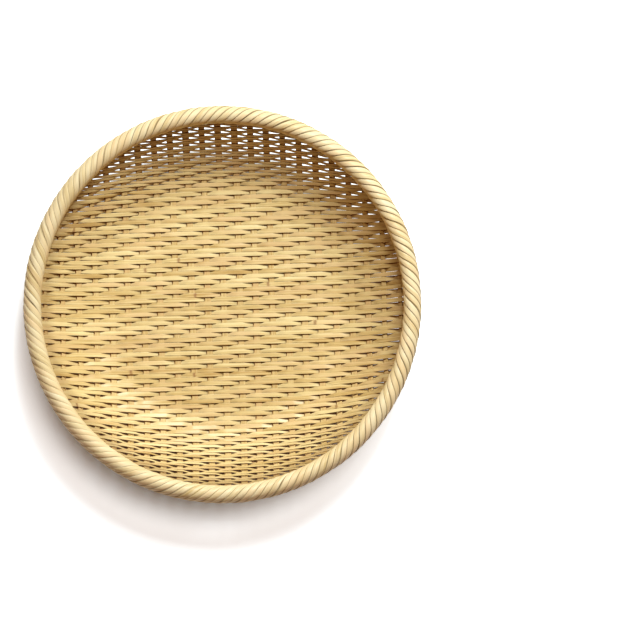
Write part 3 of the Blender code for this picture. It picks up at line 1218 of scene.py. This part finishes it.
@dataclass
class RimWinding:
    """Seven strands of split bamboo wound side by side round the two hoops of the rim.

    The strides of its irregularities are angles round the section.
    """

    oval: RimOval
    strands: int = 7
    turns: int = 20
    stations_per_turn: int = 36
    thickness: float = 0.002
    cover: float = 1.03
    lean: float = math.radians(8)
    middle_tone: float = 0.38
    start_turn: float = math.radians(236)
    end_gap: float = 0.15
    slide: Play = Play(0.1, 2.0)
    sink: Play = Play(0.00014, 2.5)
    lean_play: Play = Play(0.03, 3.0)
    width_play: Play = Play(0.07, 3.0)
    tone_play: Play = Play(0.42, 3.0)
    section: Section = Section(points=14, side=0.68, face=0.95)
    seed: int = 37

    def strip(self, strand: int, rng: np.random.Generator) -> Strip:
        """One strand: a helix round the rim's oval.

        Its angle round the section grows steadily from the inner lower side. Its angle round the rim grows
        with the share of the girth passed, so that it crosses the rim at a steady slant. It leans a little,
        so that one edge lies on its neighbour's.

        Args:
            strand: The strand's number, from 0.
            rng: Source of its small irregularities.

        Returns:
            The strand's strip.
        """
        count = self.turns * self.stations_per_turn
        turn = np.linspace(self.end_gap, math.tau * self.turns - self.end_gap, count)
        spacing = math.tau / (self.turns * self.strands)
        angle = self.start_turn + turn
        place = (self.oval.arc_share(angle) + strand / self.strands) * math.tau / self.turns
        place = place + spacing * self.slide.along(rng, turn)
        depth = self.thickness / 2 + self.sink.size + self.sink.along(rng, turn)
        path = self.oval.point(place, angle, depth)
        leaning = self.lean + self.lean_play.along(rng, turn)
        across, outward = lean_over(*strip_frame(path, self.oval.outward(place, angle)), leaning)
        reach = np.hypot(path[:, 0], path[:, 1])
        girth = self.oval.girth()
        full_width = spacing * reach * girth / np.hypot(math.tau / self.turns * reach, girth)
        width = full_width * (self.cover + self.width_play.along(rng, turn))
        tone = self.middle_tone + self.tone_play.along(rng, turn)
        start = float(rng.uniform(*STEM_STARTS))
        return Strip(path, across, outward, width, self.thickness, tone, start, np.zeros((count, 3)))

    def build(self, material: bpy.types.Material) -> None:
        """Builds and dresses the strands; the first three stand for the solids' three.

        Args:
            material: Their finish.
        """
        rng = np.random.default_rng(self.seed)
        for strand in range(self.strands):
            piece = bundle(f"rim_strand_{strand + 1}", [self.strip(strand, rng)], self.section)
            node = f"rim_binding_{strand + 1}"
            dress(piece, material, Slot.BINDING, *([node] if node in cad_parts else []))


@dataclass
class Hoops:
    """The two hoops under the winding, with the strips' tips between them."""

    oval: RimOval
    cover_depth: float = 0.0017
    slit: float = 0.0011
    profile_points: int = 13
    stations: int = 240
    edge_angle: float = math.radians(40)

    def piece(self, side: Passing) -> bpy.types.Object:
        """One hoop: half of the oval, sunk under the winding and cut flat towards the other hoop.

        The profile is the half oval's arc from its foot to its top, closed by its straight face, and it is
        carried round the rim's circle.

        Args:
            side: Inside or outside of the wall.

        Returns:
            The hoop's piece.
        """
        angle = np.linspace(-math.pi / 2, math.pi / 2, self.profile_points)
        half_width = self.oval.half_width - self.cover_depth - self.slit / 2
        reach = half_width * np.cos(angle) + self.slit / 2
        height = (self.oval.half_height - self.cover_depth) * np.sin(angle)
        order = slice(None) if side is Passing.OUTSIDE else slice(None, None, -1)
        radius = (self.oval.circle_radius - side.value * reach)[order]
        level = (self.oval.bowl.rim_height() + height)[order]
        azimuth = np.linspace(0, math.tau, self.stations, endpoint=False)[:, None]
        places = (np.cos(azimuth) * radius, np.sin(azimuth) * radius, level + 0 * azimuth)
        along = np.arange(self.stations)[:, None] * self.profile_points
        after = np.roll(along, -1, axis=0)
        here = np.arange(self.profile_points)
        following = np.roll(here, -1)
        quads = np.stack([along + here, after + here, after + following, along + following], axis=-1)
        mesh = bpy.data.meshes.new("inner_hoop_band" if side is Passing.INSIDE else "outer_hoop_band")
        points = np.stack(places, axis=-1).reshape(-1, 3)
        mesh.from_pydata(points.tolist(), [], quads.reshape(-1, 4).tolist())
        mesh.shade_smooth()
        mesh.set_sharp_from_angle(angle=self.edge_angle)
        return placed(mesh)

    def build(self, material: bpy.types.Material) -> None:
        """Builds and dresses both hoops.

        Args:
            material: Their finish.
        """
        dress(self.piece(Passing.INSIDE), material, Slot.HOOP, "inner_hoop")
        dress(self.piece(Passing.OUTSIDE), material, Slot.HOOP, "outer_hoop")


@dataclass(frozen=True)
class Lamp:
    """A square soft lamp that points at the basket.

    Attributes:
        name: The lamp's name.
        azimuth: Its direction round the basket, from the right towards the back.
        elevation: Its angle above the table.
        power: Its power in watts.
        distance: How far from the basket it hangs.
        side: Its side.
        colour: Its colour.
    """

    name: str
    azimuth: float
    elevation: float
    power: float
    distance: float = 2.4
    side: float = 0.62
    colour: tuple[float, float, float] = (0.92, 0.982, 0.995)

    def hang(self) -> None:
        """Puts the lamp in the scene."""
        data = bpy.data.lights.new(self.name, "AREA")
        data.size = self.side
        data.energy = self.power
        data.color = self.colour
        towards = Vector((math.cos(self.azimuth), math.sin(self.azimuth), math.tan(self.elevation)))
        lamp = bpy.data.objects.new(self.name, data)
        lamp.location = towards.normalized() * self.distance
        lamp.rotation_mode = "QUATERNION"
        lamp.rotation_quaternion = towards.to_track_quat("Z", "Y")
        bpy.context.scene.collection.objects.link(lamp)


@dataclass
class Studio:
    """The floor, the light and the camera.

    The camera looks almost straight down. The basket's rim circle lies left of the picture's middle. The
    floor's painted shadow and painted light lie round a point a little away from the lamps: beyond the
    shadow's two radii the floor glows plain white for the camera, which trims its real shadow, and inside
    the two under the basket a brown shadow is painted on it.
    """

    image_size: int = 640
    rim_centre_px: tuple[float, float] = (222.3, 304.1)
    rim_outline_px: float = 199.3
    rim_outline_radius: float = 0.12
    distance: float = 3.0
    tilt_towards_front: float = math.radians(3.5)
    tilt_towards_right: float = math.radians(1.6)
    roll: float = math.radians(1.7)
    sensor: float = 36.0
    clip_factor: float = 100.0
    key: Lamp = Lamp("key", azimuth=math.radians(71), elevation=math.radians(53.5), power=61.5)
    fill: Lamp = Lamp("side", azimuth=math.radians(54), elevation=math.radians(34), power=14.0)
    white: Colour = (1.0, 1.0, 1.0, 1.0)
    sky_colour: Colour = (1.0, 0.42, 0.15, 1.0)
    sky_strength: float = 0.18
    floor_radius: float = 12.0
    floor_corners: int = 64
    floor_gap: float = 0.0001
    floor_roughness: float = 0.9
    floor_seen: Colour = (0.8, 0.9, 0.96, 1.0)
    floor_bounce: Colour = (0.6, 0.56, 0.5, 1.0)
    # Painted light: the floor glows for the camera, faintly outside the painted shadow and strongly beyond
    # a disc set off from the lamps.
    painted_floor_glow: float = 0.03
    shadow_azimuth: float = math.radians(57)
    shadow_shift: float = 0.018
    shadow_start: float = 0.1
    shadow_end: float = 0.123
    painted_outer_glow: float = 0.7
    # Painted shadow: a brown disc on the floor under the basket, seen by the camera.
    painted_shadow_start: float = 0.091
    painted_shadow_end: float = 0.104
    painted_shadow_colour: Colour = linear(104, 66, 32)
    painted_shadow_share: float = 0.9

    def camera(self, target: Vector) -> None:
        """Aims the camera so that the rim lands on its place in the picture.

        Args:
            target: The middle of the rim's circle.
        """
        data = bpy.data.cameras.new("camera")
        data.sensor_width = self.sensor
        per_pixel = self.rim_outline_radius / self.rim_outline_px
        data.lens = self.sensor * self.distance / (per_pixel * self.image_size)
        data.clip_start = self.distance / self.clip_factor
        data.clip_end = self.distance * self.clip_factor
        back = Vector((math.tan(self.tilt_towards_right), -math.tan(self.tilt_towards_front), 1))
        back.normalize()
        right = Vector((0, 1, 0)).cross(back).normalized()
        right = Matrix.Rotation(-self.roll, 3, back) @ right
        up = back.cross(right)
        eye = target + back * self.distance
        middle = self.image_size / 2
        aim = target + right * (middle - self.rim_centre_px[0]) * per_pixel
        aim = aim - up * (middle - self.rim_centre_px[1]) * per_pixel
        back = (eye - aim).normalized()
        right = up.cross(back).normalized()
        up = back.cross(right)
        camera = bpy.data.objects.new("camera", data)
        axes = Matrix((right, up, back)).transposed().to_4x4()
        camera.matrix_world = Matrix.Translation(eye) @ axes
        bpy.context.scene.collection.objects.link(camera)
        bpy.context.scene.camera = camera

    def light(self) -> None:
        """Hangs a steep key lamp behind the basket and a lower weaker one, under a faint warm sky."""
        self.key.hang()
        self.fill.hang()
        world = bpy.data.worlds.new("sky")
        bpy.context.scene.world = world
        world.use_nodes = True
        graph = Graph(world.node_tree)
        sky = world.node_tree.nodes["Background"]
        sky.inputs["Color"].default_value = self.sky_colour
        sky.inputs["Strength"].default_value = self.sky_strength
        white = graph.first("ShaderNodeBackground", {"Color": self.white, "Strength": 1.0})
        shaders = {0: self.seen_directly(graph), 1: sky.outputs[0], 2: white}
        mixed = graph.first("ShaderNodeMixShader", shaders)
        graph.join(mixed, world.node_tree.nodes["World Output"].inputs["Surface"])

    @staticmethod
    def seen_directly(graph: Graph) -> bpy.types.NodeSocket:
        """One for rays from the camera, and for those that a shiny or clear surface passes on."""
        path = graph.node("ShaderNodeLightPath").outputs
        return graph.most(path["Is Camera Ray"], path["Is Glossy Ray"], path["Is Transmission Ray"])

    def paper(self) -> bpy.types.Material:
        """White paper that keeps the basket's shadow, with a brown shadow painted under the basket, painted
        light that whitens it further out, and clear from below.

        Returns:
            The floor's material.
        """
        made = bpy.data.materials.new("white paper")
        made.use_nodes = True
        graph = Graph(made.node_tree)
        shader = made.node_tree.nodes["Principled BSDF"]
        shader.inputs["Roughness"].default_value = self.floor_roughness
        shader.inputs["Emission Color"].default_value = self.white
        towards = (math.cos(self.shadow_azimuth), math.sin(self.shadow_azimuth), 0.0)
        move = tuple(self.shadow_shift * part for part in towards)
        place = graph.shift(graph.node("ShaderNodeTexCoord").outputs["Object"], move)
        away = graph.node("ShaderNodeVectorMath", {0: place}, operation="LENGTH").outputs["Value"]
        seen = self.seen_directly(graph)
        # Painted shadow: a brown disc under the basket, seen by the camera.
        under = graph.ramp(away, self.painted_shadow_end, self.painted_shadow_start)
        # Painted light: glow for the camera that whitens the floor beyond the shadow's first radius, and
        # faintly outside the painted shadow.
        outer = graph.times(graph.ramp(away, self.shadow_start, self.shadow_end), self.painted_outer_glow)
        near = graph.times(graph.math("SUBTRACT", 1.0, under), self.painted_floor_glow)
        glow = graph.times(seen, graph.math("ADD", outer, near))
        graph.join(glow, shader.inputs["Emission Strength"])
        bare = graph.mix(seen, self.floor_bounce, self.floor_seen)
        shade = graph.times(seen, under, self.painted_shadow_share)
        graph.join(graph.mix(shade, bare, self.painted_shadow_colour), shader.inputs["Base Color"])
        below = graph.node("ShaderNodeNewGeometry").outputs["Backfacing"]
        shaders = {0: below, 1: shader.outputs[0], 2: graph.first("ShaderNodeBsdfTransparent")}
        surface = graph.first("ShaderNodeMixShader", shaders)
        graph.join(surface, made.node_tree.nodes["Material Output"].inputs["Surface"])
        return made

    def floor(self, level: float) -> None:
        """Lays a wide round floor just under the basket.

        Args:
            level: Height of the basket's lowest point.
        """
        mesh = bpy.data.meshes.new("floor")
        angle = np.linspace(0, math.tau, self.floor_corners, endpoint=False)
        height = np.full(self.floor_corners, level - self.floor_gap)
        places = (self.floor_radius * np.cos(angle), self.floor_radius * np.sin(angle), height)
        mesh.from_pydata(np.stack(places, axis=1).tolist(), [], [list(range(self.floor_corners))])
        mesh.materials.append(self.paper())
        placed(mesh)


def finishes() -> dict[Slot, bpy.types.Material]:
    """Builds the bamboo finishes from the shared groups.

    Returns:
        The material for each kind of strip.
    """
    groups = {
        "fibre": fibre_group(),
        "tone": tone_group(),
        "mark": node_mark_group(),
        Crevice.ROWS.value: row_painted_shade_group(),
        Crevice.RIB.value: rib_painted_shade_group(),
        Crevice.WINDING.value: winding_painted_shade_group(),
    }
    weft = BambooFinish(
        name="weft bamboo",
        pale=linear(243, 222, 161),
        middle=linear(223, 196, 131),
        dark=linear(194, 156, 87),
        blush=linear(231, 199, 142),
        mark=linear(140, 88, 48),
        roughness=(0.42, 0.6),
        joint_spacing=1.7,
        coat=0.6,
        crevice=Crevice.ROWS,
        # Painted shade for the rows' lenses, hairlines and tuck under the rim.
        shade=linear(96, 44, 4),
        shade_share=0.9,
    )
    rib = BambooFinish(
        name="rib bamboo",
        pale=linear(232, 206, 144),
        middle=linear(216, 186, 122),
        dark=linear(194, 154, 90),
        blush=linear(222, 186, 128),
        mark=linear(130, 84, 46),
        roughness=(0.48, 0.65),
        joint_spacing=1.3,
        coat=0.1,
        crevice=Crevice.RIB,
        # Painted shade beside the rows' edges, along the rib's edges and under the rim.
        shade=linear(96, 44, 4),
        shade_share=0.95,
    )
    binding = BambooFinish(
        name="binding bamboo",
        pale=linear(243, 228, 185),
        middle=linear(235, 215, 165),
        dark=linear(214, 188, 128),
        blush=linear(240, 212, 162),
        mark=linear(206, 172, 118),
        roughness=(0.36, 0.52),
        joint_spacing=0.9,
        coat=0.3,
        crevice=Crevice.WINDING,
        # Painted shade in the grooves of the winding.
        shade=linear(84, 58, 16),
        shade_share=0.76,
        fibre_width=0.4 * MILLIMETRE,
        relief=0.04 * MILLIMETRE,
    )
    return {
        Slot.WEFT: weft.material(groups),
        Slot.RIB: rib.material(groups),
        Slot.BINDING: binding.material(groups),
        Slot.HOOP: HoopFinish().material(),
    }


def main() -> None:
    """Builds the studio and every piece of the basket, in order."""
    logging.basicConfig(level=logging.INFO, format="%(message)s")
    bowl = Bowl()
    studio = Studio()
    studio.camera(Vector((0, 0, bowl.rim_height())))
    studio.light()
    studio.floor(cad_box[0].z)
    materials = finishes()
    plan = RowPlan()
    ribs = Ribs(bowl, plan)
    ribs.build(materials[Slot.RIB])
    WeftRows(bowl, plan, ribs).build(materials[Slot.WEFT])
    oval = RimOval(bowl)
    RimWinding(oval).build(materials[Slot.BINDING])
    Hoops(oval).build(materials[Slot.HOOP])
    bpy.context.scene.view_settings.view_transform = "Standard"


if __name__ == "__main__":
    main()
